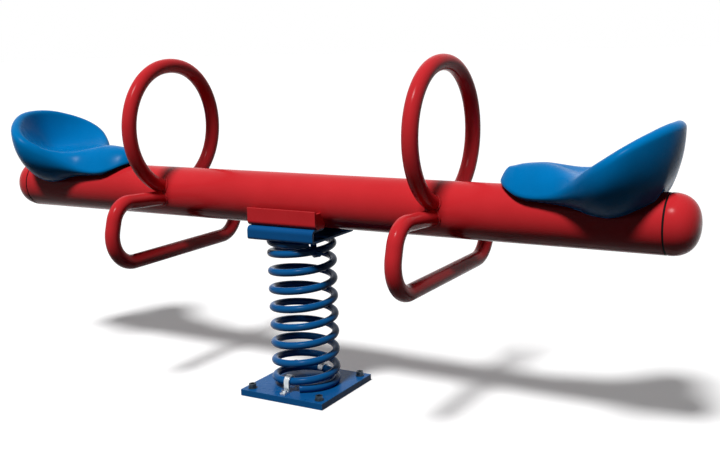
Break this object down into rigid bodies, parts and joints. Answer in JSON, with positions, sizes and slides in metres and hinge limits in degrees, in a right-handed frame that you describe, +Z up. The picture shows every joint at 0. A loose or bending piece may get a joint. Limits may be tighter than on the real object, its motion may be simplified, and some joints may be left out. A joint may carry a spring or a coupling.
{
  "type": "spring see-saw",
  "caption": "Two-seat playground spring see-saw: red tube beam with blue bucket seats, hand rings and footrests on a blue coil spring.",
  "frame": {"origin": "centre of the base plate's underside", "axes": "+X along the beam to the right-hand seat, +Y across the beam away from the viewer, +Z up"},
  "size_m": [2.064, 0.5814, 0.9033],
  "materials": {
    "red_coat": "glossy red powder coat on steel",
    "blue_coat": "glossy dark blue powder coat on steel",
    "seat_blue": "smooth light blue moulded polyethylene",
    "zinc": "bright zinc plating",
    "dark_steel": "dark coated steel fasteners"
  },
  "bodies": {
    "base": {"base_plate": "blue_coat", "anchor_washers": "dark_steel", "anchor_nuts": "dark_steel", "lower_clamps": "zinc", "lower_clamp_bolts": "zinc"},
    "spring": {"spring": "blue_coat"},
    "rocker": {"spring_head": "blue_coat", "upper_clamps": "blue_coat", "upper_clamp_bolts": "zinc", "upper_clamp_nuts": "zinc", "front_cradle_angle": "red_coat", "rear_cradle_angle": "red_coat", "cradle_gussets": "red_coat", "cradle_bolts": "zinc", "cradle_washers": "zinc", "cradle_nuts": "zinc", "beam_tube": "red_coat", "left_end_cap": "red_coat", "right_end_cap": "red_coat", "left_hand_ring": "red_coat", "right_hand_ring": "red_coat", "left_footrest": "red_coat", "right_footrest": "red_coat", "left_seat": "seat_blue", "right_seat": "seat_blue", "left_seat_bolts": "zinc", "right_seat_bolts": "zinc", "left_seat_washers": "zinc", "right_seat_washers": "zinc", "left_seat_inserts": "zinc", "right_seat_inserts": "zinc"}
  },
  "joints": [
    {"name": "side_rock", "type": "hinge", "parent": "base", "child": "spring", "pos_m": [0, 0, 0.22375], "axis": [1, 0, 0], "range_deg": [-10, 10], "stiffness_Nm_per_rad": 600, "deforming": ["spring"]},
    {"name": "end_rock", "type": "hinge", "parent": "spring", "child": "rocker", "pos_m": [0, 0, 0.22375], "axis": [0, 1, 0], "range_deg": [-20, 20], "stiffness_Nm_per_rad": 600, "deforming": ["spring"]}
  ]
}
